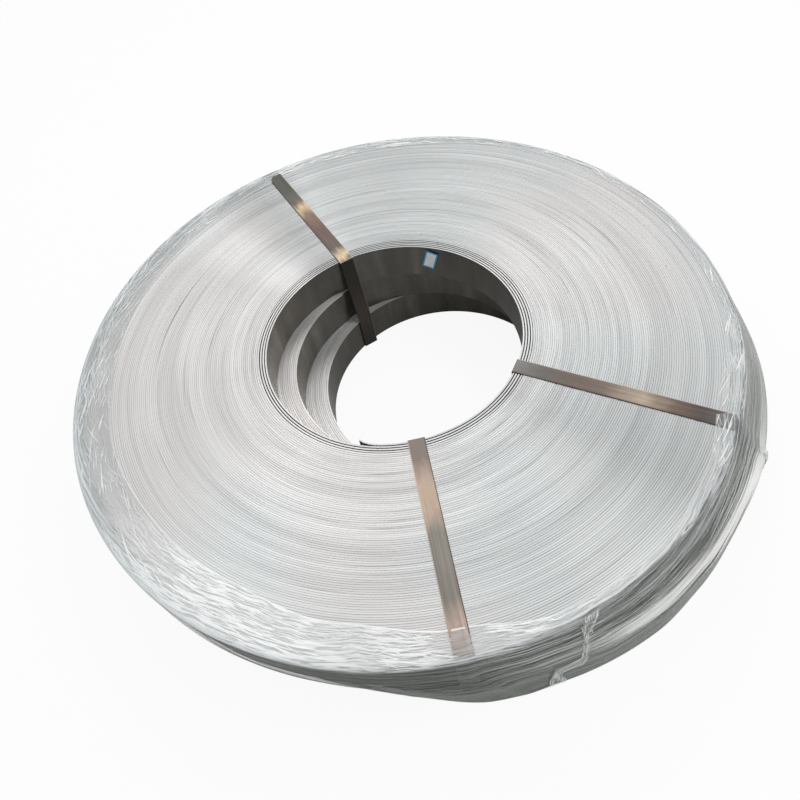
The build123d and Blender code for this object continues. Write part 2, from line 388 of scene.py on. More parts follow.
def film_gather(name, first, last, waist, seed):
    """A crumpled tail of spare film, pinched in its middle, lying on the side of the wrap.

    first and last are places on the film, as shares of its length and width."""
    rows, columns = 64, 20
    select_nothing()
    bpy.ops.mesh.primitive_grid_add(x_subdivisions=rows, y_subdivisions=columns, size=1, calc_uvs=True)
    piece = name_piece(name)
    laid = []
    for point in piece.data.vertices:
        along = point.co.x + 0.5
        side = point.co.y * 2
        frayed = 1 + 0.35 * noise.noise(Vector((along * 9, side, seed)))
        opened = mix(waist, 1.0, (2 * along - 1) ** 2) * frayed
        across = side * tail_half_width * opened
        u = mix(first[0], last[0], along) + across
        v = mix(first[1], last[1], along) + 0.25 * across
        place, run = film_point(u, min(v, film_side_share))
        away = Vector((cos(film_end_angle + 2 * pi * u), sin(film_end_angle + 2 * pi * u), 0.25))
        fold = noise.noise(Vector((along * 7, side * 5 / max(opened, 0.3), seed + 4.0)))
        crumple = noise.noise(Vector((along * 24, side * 9, seed + 9.0)))
        point.co = place + away * (0.0024 + 0.0022 * abs(fold) + 0.0012 * abs(crumple))
        laid.append((along * 0.17, side * 0.03))
    lay_out(piece, laid)
    bpy.ops.object.mode_set(mode="EDIT")
    bpy.ops.mesh.select_all(action="SELECT")
    bpy.ops.mesh.normals_make_consistent(inside=False)
    bpy.ops.object.mode_set(mode="OBJECT")
    bpy.ops.object.shade_smooth()
    return piece


# ---- node building

def new_material(name):
    material = bpy.data.materials.new(name)
    material.use_nodes = True
    return material, material.node_tree, material.node_tree.nodes["Principled BSDF"]


def add_node(tree, kind, place=(0, 0), **settings):
    node = tree.nodes.new(kind)
    node.location = place
    for key, value in settings.items():
        setattr(node, key, value)
    return node


def link(tree, source, target):
    tree.links.new(source, target)


def calculate(tree, operation, a, b=None, clamp=False):
    node = add_node(tree, "ShaderNodeMath", operation=operation, use_clamp=clamp)
    for i, value in enumerate((a, b)):
        if value is None:
            continue
        if isinstance(value, (int, float)):
            node.inputs[i].default_value = value
        else:
            link(tree, value, node.inputs[i])
    return node.outputs[0]


def times(tree, a, b):
    return calculate(tree, "MULTIPLY", a, b)


def plus(tree, a, b, clamp=False):
    return calculate(tree, "ADD", a, b, clamp)


def less(tree, a, b):
    return calculate(tree, "SUBTRACT", a, b)


def rest_of(tree, share):
    return calculate(tree, "SUBTRACT", 1.0, share)


def larger(tree, a, b, clamp=False):
    return calculate(tree, "MAXIMUM", a, b, clamp)


def ramp(tree, value, stops):
    node = add_node(tree, "ShaderNodeValToRGB")
    elements = node.color_ramp.elements
    while len(elements) < len(stops):
        elements.new(0.5)
    for element, (place, colour) in zip(elements, stops):
        element.position = place
        element.color = (*colour, 1) if len(colour) == 3 else colour
    link(tree, value, node.inputs[0])
    return node.outputs[0]


def blend_colours(tree, share, a, b, blend_type="MIX"):
    node = add_node(tree, "ShaderNodeMix", data_type="RGBA", blend_type=blend_type)
    for socket, value in ((node.inputs[0], share), (node.inputs[6], a), (node.inputs[7], b)):
        if isinstance(value, (int, float)):
            socket.default_value = value
        elif isinstance(value, tuple):
            socket.default_value = (*value, 1)
        else:
            link(tree, value, socket)
    return node.outputs[2]


def shaded(tree, colour, tone):
    return blend_colours(tree, 1.0, colour, tone, "MULTIPLY")


def noise_at(tree, vector, scale, detail=2.0, roughness=0.5, distortion=0.0):
    node = add_node(tree, "ShaderNodeTexNoise")
    node.inputs["Scale"].default_value = scale
    node.inputs["Detail"].default_value = detail
    node.inputs["Roughness"].default_value = roughness
    node.inputs["Distortion"].default_value = distortion
    link(tree, vector, node.inputs["Vector"])
    return node.outputs["Fac"]


def grey(value):
    return (value, value, value)


# Effects that several finishes share

def turn_lines_group():
    """Lines that run round the coil's axis: radius squeezed, direction stretched."""
    group = bpy.data.node_groups.new("turn_lines", "ShaderNodeTree")
    group.interface.new_socket("Vector", in_out="INPUT", socket_type="NodeSocketVector")
    group.interface.new_socket("Lines per metre", in_out="INPUT", socket_type="NodeSocketFloat")
    group.interface.new_socket("Breaks", in_out="INPUT", socket_type="NodeSocketFloat")
    group.interface.new_socket("Value", in_out="OUTPUT", socket_type="NodeSocketFloat")
    inside = add_node(group, "NodeGroupInput")
    outside = add_node(group, "NodeGroupOutput")
    split = add_node(group, "ShaderNodeSeparateXYZ")
    link(group, inside.outputs["Vector"], split.inputs[0])
    square = plus(group, times(group, split.outputs[0], split.outputs[0]),
                  times(group, split.outputs[1], split.outputs[1]))
    radius = calculate(group, "SQRT", square)
    east = calculate(group, "DIVIDE", split.outputs[0], radius)
    north = calculate(group, "DIVIDE", split.outputs[1], radius)
    join = add_node(group, "ShaderNodeCombineXYZ")
    link(group, times(group, radius, inside.outputs["Lines per metre"]), join.inputs[0])
    link(group, times(group, east, inside.outputs["Breaks"]), join.inputs[1])
    link(group, times(group, north, inside.outputs["Breaks"]), join.inputs[2])
    lines = noise_at(group, join.outputs[0], 1.0, detail=2.0, roughness=0.6)
    link(group, lines, outside.inputs[0])
    return group


def lines_round(tree, group, vector, per_metre, breaks):
    node = add_node(tree, "ShaderNodeGroup")
    node.node_tree = group
    link(tree, vector, node.inputs["Vector"])
    node.inputs["Lines per metre"].default_value = per_metre
    node.inputs["Breaks"].default_value = breaks
    return node.outputs["Value"]


def centred(tree, x, y, z=0):
    """Object coordinates measured from a point of the pack."""
    coordinates = add_node(tree, "ShaderNodeTexCoord")
    mapping = add_node(tree, "ShaderNodeMapping")
    mapping.inputs["Location"].default_value = (-x, -y, -z)
    link(tree, coordinates.outputs["Object"], mapping.inputs["Vector"])
    return mapping.outputs["Vector"]


def turned(tree, vector, angle):
    """The same places, with X running in a direction."""
    mapping = add_node(tree, "ShaderNodeMapping")
    mapping.inputs["Rotation"].default_value = (0, 0, -angle)
    link(tree, vector, mapping.inputs["Vector"])
    return mapping.outputs["Vector"]


def scaled(tree, vector, scale):
    mapping = add_node(tree, "ShaderNodeMapping")
    mapping.inputs["Scale"].default_value = scale
    link(tree, vector, mapping.inputs["Vector"])
    return mapping.outputs["Vector"]


def parts_of(tree, vector):
    split = add_node(tree, "ShaderNodeSeparateXYZ")
    link(tree, vector, split.inputs[0])
    return split.outputs[0], split.outputs[1], split.outputs[2]


def spread(tree, value, low, high):
    """0 below low, 1 above high, straight between."""
    node = add_node(tree, "ShaderNodeMapRange", clamp=True)
    node.inputs["From Min"].default_value = low
    node.inputs["From Max"].default_value = high
    link(tree, value, node.inputs["Value"])
    return node.outputs[0]


def add_bump(tree, shader, height, strength, distance):
    bump = add_node(tree, "ShaderNodeBump")
    bump.inputs["Strength"].default_value = strength
    bump.inputs["Distance"].default_value = distance
    link(tree, height, bump.inputs["Height"])
    link(tree, bump.outputs[0], shader.inputs["Normal"])


turn_lines = turn_lines_group()


def painted_sheen_round_axis(tree, place, stops):
    """A painted sheen: a brightness that changes with the direction from the coil's axis, in degrees."""
    around = add_node(tree, "ShaderNodeTexGradient", gradient_type="RADIAL")
    link(tree, place, around.inputs["Vector"])
    placed = sorted((((direction + 180) % 360) / 360, grey(value)) for direction, value in stops)
    return ramp(tree, around.outputs["Fac"], placed)


# The painted sheen round the axis, on the slit edges and on the bore walls: directions and brightness.
# Each list starts and ends at 180 degrees, where the pattern closes.
painted_edge_sheen = (
    (180, 0.92), (205, 1.08), (228, 1.22), (250, 1.16), (272, 1.0), (295, 0.80), (312, 0.72),
    (330, 0.92), (345, 0.97), (0, 0.93), (20, 0.89), (50, 0.80), (80, 0.75), (96, 0.82),
    (103, 0.92), (108, 0.76), (114, 0.70), (120, 0.78), (127, 1.0), (133, 1.02), (141, 0.90),
    (179.9, 0.92),
)
painted_wall_sheen = ((180, 3.0), (215, 3.0), (240, 2.0), (265, 1.0), (120, 1.0), (150, 2.0), (179.9, 3.0))


def strip_edge_finish(level):
    """The end of a coil: hundreds of slit edges, pale and satin, with a few darker turns and a painted
    sheen that fans round the bore.
    """
    material, tree, shader = new_material(f"slit_edges_{level}")
    place = centred(tree, *coil_axis[level])
    fine = lines_round(tree, turn_lines, place, 400, 2.5)
    turns = lines_round(tree, turn_lines, place, 210, 1.3)
    bands = lines_round(tree, turn_lines, place, 26, 0.6)
    patches = noise_at(tree, place, 2.4, detail=1)
    base = ramp(tree, bands, [(0.30, grey(0.49)), (0.50, grey(0.55)), (0.70, grey(0.59))])
    tint = ramp(tree, patches, [(0.40, (1.0, 0.975, 0.962)), (0.60, (0.955, 0.988, 0.985))])
    colour = shaded(tree, base, tint)
    turn_tone = ramp(tree, turns, [
        (0.24, grey(0.50)), (0.33, grey(0.93)), (0.55, grey(1.0)), (0.75, grey(1.05))
    ])
    colour = shaded(tree, colour, turn_tone)
    fine_tone = ramp(tree, fine, [(0.3, grey(0.92)), (0.5, grey(1.0)), (0.7, grey(1.04))])
    colour = shaded(tree, colour, fine_tone)
    # Painted sheen: lighter and darker fans round the bore, where lamps would glint on the edges.
    colour = shaded(tree, colour, painted_sheen_round_axis(tree, place, painted_edge_sheen))
    specks = noise_at(tree, place, 75, detail=0)
    speck_tone = ramp(tree, specks, [(0.065, grey(0.2)), (0.08, grey(1.0))])
    colour = shaded(tree, colour, speck_tone)
    link(tree, colour, shader.inputs["Base Color"])
    shader.inputs["Metallic"].default_value = 0.45
    link(tree, ramp(tree, fine, [(0.3, grey(0.46)), (0.7, grey(0.36))]), shader.inputs["Roughness"])
    shader.inputs["Anisotropic"].default_value = 0.9
    shader.inputs["Anisotropic Rotation"].default_value = 0.25
    round_axis = add_node(tree, "ShaderNodeTangent", direction_type="RADIAL", axis="Z")
    link(tree, round_axis.outputs[0], shader.inputs["Tangent"])
    add_bump(tree, shader, fine, 0.05, 0.0004)
    return material


def strip_wall_finish(level):
    """The strip's broad face in the bore: dark rolled steel, darkened further as painted shade, smooth,
    with painted reflections in faint upright streaks and painted light on the left.
    """
    material, tree, shader = new_material(f"rolled_face_{level}")
    place = centred(tree, *coil_axis[level])
    rolling = noise_at(tree, scaled(tree, place, (6, 6, 260)), 1.0, detail=3)
    # Painted reflections: faint lighter upright streaks on the wall.
    reflection_streaks = noise_at(tree, scaled(tree, place, (26, 26, 5)), 1.0, detail=2)
    # The base is darker than the steel, partly as painted shade in the bore.
    base = ramp(tree, reflection_streaks, [
        (0.35, (0.088, 0.081, 0.070)), (0.60, (0.118, 0.111, 0.098)), (0.72, (0.158, 0.150, 0.134)),
    ])
    tone = ramp(tree, rolling, [(0.3, grey(0.94)), (0.7, grey(1.06))])
    colour = shaded(tree, base, tone)
    # Painted light: the top and middle coils' bore walls are lighter on the left, where the light falls;
    # the bottom coil's is left dark as painted shade deep in the bore.
    if level != "bottom":
        colour = shaded(tree, colour, painted_sheen_round_axis(tree, place, painted_wall_sheen))
    link(tree, colour, shader.inputs["Base Color"])
    shader.inputs["Metallic"].default_value = 0.75
    link(tree, ramp(tree, reflection_streaks, [(0.3, grey(0.26)), (0.7, grey(0.38))]), shader.inputs["Roughness"])
    add_bump(tree, shader, rolling, 0.08, 0.0004)
    return material


def outer_wall_finish(level):
    """The last turn of the strip, dull and dark under the film, darkened as painted shade of the pack's
    side.
    """
    material, tree, shader = new_material(f"outer_turn_{level}")
    place = centred(tree, *coil_axis[level])
    scale_marks = noise_at(tree, scaled(tree, place, (5, 5, 160)), 1.0, detail=4)
    clouds = noise_at(tree, place, 5, detail=2)
    # Painted shade: the base is this dark to stand for the shade on the pack's side; the scale marks are
    # the steel's own.
    base = ramp(tree, clouds, [(0.38, (0.062, 0.062, 0.051)), (0.60, (0.052, 0.068, 0.050))])
    tone = ramp(tree, scale_marks, [(0.32, grey(0.45)), (0.5, grey(1.0)), (0.68, grey(2.1))])
    link(tree, shaded(tree, base, tone), shader.inputs["Base Color"])
    shader.inputs["Metallic"].default_value = 0.25
    shader.inputs["Specular IOR Level"].default_value = 0.25
    roughness = ramp(tree, scale_marks, [(0.3, grey(0.62)), (0.7, grey(0.45))])
    link(tree, roughness, shader.inputs["Roughness"])
    add_bump(tree, shader, scale_marks, 0.15, 0.0005)
    return material


def strap_finish(run, stops, shaded_side):
    """Burnished steel strapping: temper colours with painted highlights along it, painted shade where it
    runs down the bore, long rub streaks, worn edges with a painted highlight, and a painted shadow along
    one edge.
    """
    angle, beside = strap_runs[run]
    material, tree, shader = new_material(f"burnished_{run}")
    place = turned(tree, centred(tree, *coil_axis["top"]), angle)
    along, across, height = parts_of(tree, place)
    streaks = noise_at(tree, scaled(tree, place, (7, 420, 7)), 1.0, detail=3, roughness=0.6)
    clouds = noise_at(tree, scaled(tree, place, (22, 60, 22)), 1.0, detail=3)
    wobble = times(tree, less(tree, clouds, 0.5), 0.14)
    reach = plus(tree, spread(tree, along, 0.24, 0.66), wobble)
    # The flat runs' tones: temper colours, with painted highlights at the brightest stops.
    flat_tone_and_highlight = ramp(tree, reach, stops)
    # Painted shade: the part of the strap that runs down the bore gets dark tones, the lying part the lit
    # ones.
    upright_shade_reach = plus(tree, spread(tree, height, 0.0, 0.26), wobble)
    upright_shade = ramp(tree, upright_shade_reach, [
        (0.1, (0.045, 0.042, 0.036)), (0.45, (0.075, 0.060, 0.050)), (0.7, (0.055, 0.054, 0.046)),
        (0.98, (0.050, 0.053, 0.048))
    ])
    surface = add_node(tree, "ShaderNodeNewGeometry")
    upward = parts_of(tree, surface.outputs["Normal"])[2]
    lying = calculate(tree, "GREATER_THAN", calculate(tree, "ABSOLUTE", upward), 0.6)
    base = blend_colours(tree, lying, upright_shade, flat_tone_and_highlight)
    tone = ramp(tree, streaks, [(0.3, grey(0.80)), (0.5, grey(1.0)), (0.68, grey(1.28))])
    colour = shaded(tree, base, tone)
    edge = strap_width / 2
    from_middle = calculate(tree, "ABSOLUTE", plus(tree, across, beside))
    # Both edges lighter and coppery: worn edges, with a painted edge highlight.
    rubbed_and_lit_edge = spread(tree, from_middle, edge - 0.0016, edge - 0.0004)
    colour = blend_colours(tree, times(tree, rubbed_and_lit_edge, 0.4), colour, (0.60, 0.43, 0.33))
    # Painted shadow: a dark line along the strap's edge on the shaded side.
    toward_shadow_side = times(tree, plus(tree, across, beside), shaded_side)
    shadow_line = spread(tree, toward_shadow_side, edge - 0.0020, edge - 0.0012)
    colour = blend_colours(tree, times(tree, shadow_line, 0.85), colour, (0.03, 0.028, 0.025))
    shader.inputs["Metallic"].default_value = 0.8
    link(tree, ramp(tree, streaks, [(0.3, grey(0.34)), (0.7, grey(0.50))]), shader.inputs["Roughness"])
    link(tree, colour, shader.inputs["Base Color"])
    dents = plus(tree, times(tree, streaks, 0.35), clouds)
    add_bump(tree, shader, dents, 0.22, 0.0012)
    return material


# The temper colours along each strap, with painted highlights among them, from the bore to the rim
strap_tones_and_highlights = {
    "back_left": [
        (0.03, (0.17, 0.145, 0.115)), (0.07, (0.46, 0.37, 0.25)), (0.13, (0.105, 0.088, 0.075)),
        (0.33, (0.125, 0.082, 0.076)), (0.47, (0.20, 0.145, 0.11)), (0.56, (0.50, 0.38, 0.25)),
        (0.63, (0.13, 0.115, 0.10)), (0.75, (0.085, 0.088, 0.075)),
    ],
    "right": [
        (0.02, (0.13, 0.128, 0.125)), (0.14, (0.095, 0.088, 0.082)), (0.28, (0.115, 0.092, 0.080)),
        (0.45, (0.155, 0.122, 0.102)), (0.60, (0.33, 0.27, 0.215)), (0.72, (0.15, 0.108, 0.088)),
        (0.84, (0.085, 0.07, 0.062)), (0.97, (0.12, 0.118, 0.112)),
    ],
    "front": [
        (0.02, (0.115, 0.10, 0.088)), (0.12, (0.13, 0.108, 0.095)), (0.26, (0.30, 0.23, 0.185)),
        (0.38, (0.32, 0.245, 0.195)), (0.50, (0.17, 0.158, 0.138)), (0.74, (0.18, 0.165, 0.145)),
        (0.86, (0.36, 0.275, 0.235)), (0.97, (0.16, 0.118, 0.095)),
    ],
}


def seal_finish():
    """Plain crimped steel, a little brighter at the scuffs."""
    material, tree, shader = new_material("crimped_seal")
    place = centred(tree, 0, 0)
    scuffs = noise_at(tree, place, 120, detail=3)
    base = ramp(tree, scuffs, [(0.35, (0.16, 0.155, 0.15)), (0.7, (0.38, 0.37, 0.36))])
    link(tree, base, shader.inputs["Base Color"])
    shader.inputs["Metallic"].default_value = 0.9
    link(tree, ramp(tree, scuffs, [(0.3, grey(0.35)), (0.7, grey(0.5))]), shader.inputs["Roughness"])
    return material


def film_strands_group():
    """Strands in pulled film: long, slightly wandering ridges of a stretched noise."""
    group = bpy.data.node_groups.new("film_strands", "ShaderNodeTree")
    group.interface.new_socket("Vector", in_out="INPUT", socket_type="NodeSocketVector")
    for name in ("Slant", "Wander", "Along", "Across", "Low", "High"):
        group.interface.new_socket(name, in_out="INPUT", socket_type="NodeSocketFloat")
    group.interface.new_socket("Mask", in_out="OUTPUT", socket_type="NodeSocketFloat")
    group.interface.new_socket("Height", in_out="OUTPUT", socket_type="NodeSocketFloat")
    inside = add_node(group, "NodeGroupInput")
    outside = add_node(group, "NodeGroupOutput")
    along, across, _ = parts_of(group, inside.outputs["Vector"])
    waver = less(group, noise_at(group, inside.outputs["Vector"], 16.0, detail=1), 0.5)
    slanted = plus(group, across, times(group, along, inside.outputs["Slant"]))
    slanted = plus(group, slanted, times(group, waver, inside.outputs["Wander"]))
    join = add_node(group, "ShaderNodeCombineXYZ")
    link(group, times(group, along, inside.outputs["Along"]), join.inputs[0])
    link(group, times(group, slanted, inside.outputs["Across"]), join.inputs[1])
    field = noise_at(group, join.outputs[0], 1.0, detail=2.0, roughness=0.5, distortion=0.2)
    cut_off = add_node(group, "ShaderNodeMapRange", clamp=True, interpolation_type="SMOOTHSTEP")
    link(group, field, cut_off.inputs["Value"])
    link(group, inside.outputs["Low"], cut_off.inputs["From Min"])
    link(group, inside.outputs["High"], cut_off.inputs["From Max"])
    link(group, cut_off.outputs[0], outside.inputs["Mask"])
    link(group, field, outside.inputs["Height"])
    return group


def strands(tree, vector, slant, wander, along, across, low, high):
    node = add_node(tree, "ShaderNodeGroup")
    node.node_tree = film_strands
    link(tree, vector, node.inputs["Vector"])
    names = ("Slant", "Wander", "Along", "Across", "Low", "High")
    for name, value in zip(names, (slant, wander, along, across, low, high)):
        node.inputs[name].default_value = value
    return node.outputs["Mask"], node.outputs["Height"]


film_strands = film_strands_group()


def round_value(tree, length_share, *pairs):
    """A value that changes round the pack, from pairs of a direction in degrees and a value."""
    seam = degrees(film_end_angle)
    placed = sorted((((direction - seam) % 360) / 360, grey(value)) for direction, value in pairs)
    return ramp(tree, length_share, placed)


def film_finish():
    """Clear film in layers: white strands where it is pulled, partly painted highlights, grey-green where
    it stands off, darkened as painted shade down the side, and a band of painted light over the lower
    ledge.
    """
    material, tree, shader = new_material("stretch_film")
    grid = add_node(tree, "ShaderNodeTexCoord")
    place = grid.outputs["UV"]
    along, across, _ = parts_of(tree, place)
    length_share = calculate(tree, "DIVIDE", along, film_cut[0])
    height = parts_of(tree, grid.outputs["Object"])[2]
    on_side = rest_of(tree, spread(tree, height, top_face - 0.009, top_face - 0.001))
    distance = add_node(tree, "ShaderNodeVectorMath", operation="LENGTH")
    link(tree, scaled(tree, centred(tree, *coil_axis["top"]), (1, 1, 0)), distance.inputs[0])
    near_rim = spread(tree, distance.outputs["Value"], outer_radius - 0.036, outer_radius)

    # the strands, each kind with its own slant and fineness, and how crowded they are
    wisps, wisp_height = strands(tree, place, 0.05, 0.012, 16.0, 240.0, 0.49, 0.58)
    flecks, fleck_height = strands(tree, place, -0.22, 0.004, 13.0, 270.0, 0.58, 0.63)
    counter, _ = strands(tree, place, 0.33, 0.004, 15.0, 240.0, 0.60, 0.65)
    lines, line_height = strands(tree, place, 0.045, 0.006, 2.4, 170.0, 0.56, 0.60)
    thin_lines, _ = strands(tree, place, 0.05, 0.008, 4.5, 330.0, 0.57, 0.64)
    threads, _ = strands(tree, place, 0.10, 0.010, 18.0, 380.0, 0.48, 0.55)
    dark_lines, _ = strands(tree, place, 0.06, 0.010, 3.0, 130.0, 0.52, 0.57)
    fans, _ = strands(tree, place, 0.22, 0.010, 5.0, 190.0, 0.57, 0.63)
    lines = larger(tree, lines, times(tree, thin_lines, 0.8))
    bunched = larger(tree, wisps, times(tree, threads, 0.85))
    clusters = spread(tree, noise_at(tree, scaled(tree, place, (7, 20, 1)), 1.0, detail=2), 0.34, 0.52)
    sparse = times(tree, larger(tree, flecks, times(tree, counter, 0.7)), clusters)
    crowding = round_value(
        tree, length_share, (112, 0.55), (150, 0.35), (172, 0.5), (186, 0.4), (205, 0.4), (218, 0.8),
        (236, 1.0), (254, 0.8), (263, 0.9), (269, 0.45), (275, 0.9), (290, 0.7), (319, 0.5), (325, 0.15),
        (331, 0.55), (350, 0.45), (15, 0.25), (60, 0.35), (95, 0.7)
    )

    # white on the lap, partly painted highlights: crinkles in clusters, patches of painted glare, and
    # lines that gather at the rim
    coverage = plus(tree, clusters, less(tree, crowding, 0.65), True)
    crinkles = times(tree, bunched, times(tree, coverage, crowding))
    lap_white = larger(tree, crinkles, times(tree, sparse, 0.8))
    glare_share = round_value(
        tree, length_share, (112, 0.1), (170, 0.1), (205, 0.3), (222, 1.0), (246, 1.0), (258, 0.6),
        (264, 0.5), (269, 0.25), (274, 0.5), (290, 0.35), (319, 0.3), (325, 0.05), (331, 0.25), (20, 0.10)
    )
    # Painted glare: white patches where the lap catches the light, most at the front left.
    painted_glare = spread(tree, noise_at(tree, scaled(tree, place, (6, 26, 1)), 1.0, detail=2), 0.18, 0.46)
    painted_glare = times(tree, painted_glare, plus(tree, 0.42, times(tree, bunched, 0.58)))
    lap_white = larger(tree, lap_white, times(tree, painted_glare, glare_share))
    rim_share = plus(tree, 0.2, times(tree, near_rim, 0.4))
    lap_white = larger(tree, lap_white, times(tree, lines, rim_share))

    # white down the side, partly painted highlights: long pulled lines and slanting fans, fewer at the
    # foot
    side_white = larger(tree, times(tree, lines, 0.70), times(tree, fans, 0.50))
    side_white = larger(tree, side_white, times(tree, sparse, 0.3))
    pull_share = round_value(
        tree, length_share, (112, 0.7), (200, 0.5), (222, 0.25), (268, 0.20), (282, 0.85), (318, 0.8),
        (334, 0.25), (20, 0.15), (60, 0.6)
    )
    foot = rest_of(tree, spread(tree, height, 0.066, 0.088))
    pull_share = times(tree, pull_share, rest_of(tree, times(tree, foot, 0.6)))
    side_white = times(tree, side_white, pull_share)

    # both together, and the rolled inner edge
    on_lap = rest_of(tree, on_side)
    white = plus(tree, times(tree, side_white, on_side), times(tree, lap_white, on_lap))
    edge_share = round_value(
        tree, length_share, (112, 0.4), (180, 0.35), (205, 0.75), (265, 0.9), (285, 0.5), (330, 0.3),
        (60, 0.3)
    )
    edge = rest_of(tree, spread(tree, across, 0.0022, 0.0040))
    white = larger(tree, white, times(tree, edge, edge_share), True)

    # how dense the film is on the lap: a thin grey veil, and a soft roll at the rim, which is painted
    # shading of the film's rounding over the rim
    veil = round_value(
        tree, length_share, (112, 0.30), (150, 0.26), (190, 0.26), (215, 0.06), (240, 0.05), (268, 0.06),
        (300, 0.04), (335, 0.06), (20, 0.04), (80, 0.08)
    )
    roll = round_value(
        tree, length_share, (112, 0.30), (160, 0.30), (190, 0.50), (215, 0.50), (245, 0.25), (268, 0.10),
        (320, 0.1), (335, 0.15), (20, 0.15), (80, 0.2)
    )
    lap_body = plus(tree, veil, times(tree, roll, near_rim))

    # and down the side: darker at the foot, with a pale band of painted light where it is stretched over
    # the lower ledge
    low_down = rest_of(tree, spread(tree, height, 0.070, 0.092))
    ripple = times(tree, less(tree, line_height, 0.5), 0.12)
    band_height = plus(tree, height, ripple)
    above_ledge = spread(tree, band_height, 0.080, 0.092)
    on_ledge = times(tree, above_ledge, rest_of(tree, spread(tree, band_height, 0.125, 0.150)))
    # Painted light: a pale band on the film where the lit ledge of the bottom coil shows through.
    ledge_light_share = round_value(
        tree, length_share, (112, 0.0), (276, 0.0), (288, 0.9), (320, 1.0), (332, 0.6), (350, 0.3),
        (20, 0.0)
    )
    ledge_light = times(tree, on_ledge, ledge_light_share)
    # Denser and darker down the side: partly the film's grey-green, partly painted shade of the side.
    stand_off_and_shade = round_value(
        tree, length_share, (112, 0.20), (200, 0.20), (262, 0.34), (300, 0.28), (325, 0.40), (345, 0.60),
        (20, 0.55), (60, 0.30)
    )
    side_body = plus(tree, stand_off_and_shade, times(tree, dark_lines, 0.45))
    side_body = plus(tree, side_body, times(tree, low_down, 0.55), True)
    side_body = larger(tree, side_body, ledge_light)
    clear = plus(tree, times(tree, side_body, on_side), times(tree, lap_body, on_lap))

    # colours: the strands count for as much as they cover
    # The side's dark grey-green is partly the film's own tint, partly painted shade.
    side_colour = blend_colours(tree, dark_lines, (0.058, 0.086, 0.056), (0.014, 0.024, 0.013))
    side_colour = blend_colours(tree, ledge_light, side_colour, (0.98, 0.99, 0.95))
    # Bluish grey towards the rim: painted shading of the film's roll over the rim.
    lap_colour = blend_colours(tree, near_rim, (0.35, 0.38, 0.37), (0.38, 0.44, 0.46))
    body = blend_colours(tree, on_side, lap_colour, side_colour)
    cover = times(tree, white, 0.9)
    opacity = plus(tree, cover, clear)
    whiteness = calculate(tree, "DIVIDE", cover, larger(tree, opacity, 0.01))
    link(tree, blend_colours(tree, whiteness, body, (0.97, 0.98, 0.98)), shader.inputs["Base Color"])
    link(tree, calculate(tree, "MINIMUM", opacity, 1.0), shader.inputs["Alpha"])
    shader.inputs["Roughness"].default_value = 0.2
    shader.inputs["Coat Weight"].default_value = 0.2
    shader.inputs["Coat Roughness"].default_value = 0.08
    finer = plus(tree, line_height, times(tree, fleck_height, 0.5))
    relief = plus(tree, times(tree, wisp_height, crowding), finer)
    add_bump(tree, shader, relief, 0.6, 0.0022)
    return material


def gather_finish():
    """The bunched film tails: the same clear film, white along its many folds."""
    material, tree, shader = new_material("gathered_film")
    grid = add_node(tree, "ShaderNodeTexCoord")
    place = grid.outputs["UV"]
    folds, fold_height = strands(tree, place, 0.1, 0.010, 26.0, 300.0, 0.46, 0.56)
    frays, _ = strands(tree, place, -0.6, 0.012, 60.0, 260.0, 0.54, 0.62)
    white = larger(tree, folds, times(tree, frays, 0.8), True)
    colour = blend_colours(tree, white, (0.30, 0.33, 0.31), (0.95, 0.96, 0.96))
    link(tree, colour, shader.inputs["Base Color"])
    link(tree, plus(tree, times(tree, white, 0.75), 0.06, True), shader.inputs["Alpha"])
    shader.inputs["Roughness"].default_value = 0.2
    shader.inputs["Coat Weight"].default_value = 0.4
    shader.inputs["Coat Roughness"].default_value = 0.08
    add_bump(tree, shader, fold_height, 0.7, 0.002)
    return material


def label_finish():
    """A paper sticker: a white field with faint ruled lines inside a blue border."""
    material, tree, shader = new_material("label_paper")
    radius = bore_radius + 0.0006
    x = coil_axis["top"][0] + radius * cos(label_angle)
    y = coil_axis["top"][1] + radius * sin(label_angle)
    coordinates = add_node(tree, "ShaderNodeTexCoord")
    shift = add_node(tree, "ShaderNodeMapping", vector_type="POINT")
    shift.inputs["Location"].default_value = (-x, -y, -label_middle)
    link(tree, coordinates.outputs["Object"], shift.inputs["Vector"])
    turn = add_node(tree, "ShaderNodeMapping", vector_type="POINT")
    turn.inputs["Rotation"].default_value = (0, 0, pi / 2 - label_angle)
    link(tree, shift.outputs[0], turn.inputs["Vector"])
    tilt = add_node(tree, "ShaderNodeMapping", vector_type="POINT")
    tilt.inputs["Rotation"].default_value = (0, -label_tilt, 0)
    link(tree, turn.outputs[0], tilt.inputs["Vector"])
    split = add_node(tree, "ShaderNodeSeparateXYZ")
    link(tree, tilt.outputs[0], split.inputs[0])
    across = calculate(tree, "ABSOLUTE", split.outputs[0])
    along = calculate(tree, "ABSOLUTE", split.outputs[2])
    inside = times(tree, calculate(tree, "LESS_THAN", across, label_field[0]),
                   calculate(tree, "LESS_THAN", along, label_field[1]))
    rows = calculate(tree, "SINE", times(tree, split.outputs[2], 1100))
    ruled = ramp(tree, rows, [(0.75, (0.93, 0.94, 0.95)), (0.95, (0.52, 0.60, 0.70))])
    stain = noise_at(tree, tilt.outputs[0], 60, detail=3)
    field = shaded(tree, ruled, ramp(tree, stain, [(0.3, grey(0.85)), (0.7, grey(1.0))]))
    link(tree, blend_colours(tree, inside, (0.02, 0.30, 0.58), field), shader.inputs["Base Color"])
    shader.inputs["Roughness"].default_value = 0.45
    return material


# ---- the pieces, dressed and placed

def radius_on(level, middle):
    x, y = coil_axis[level]
    return hypot(middle.x - x, middle.y - y)


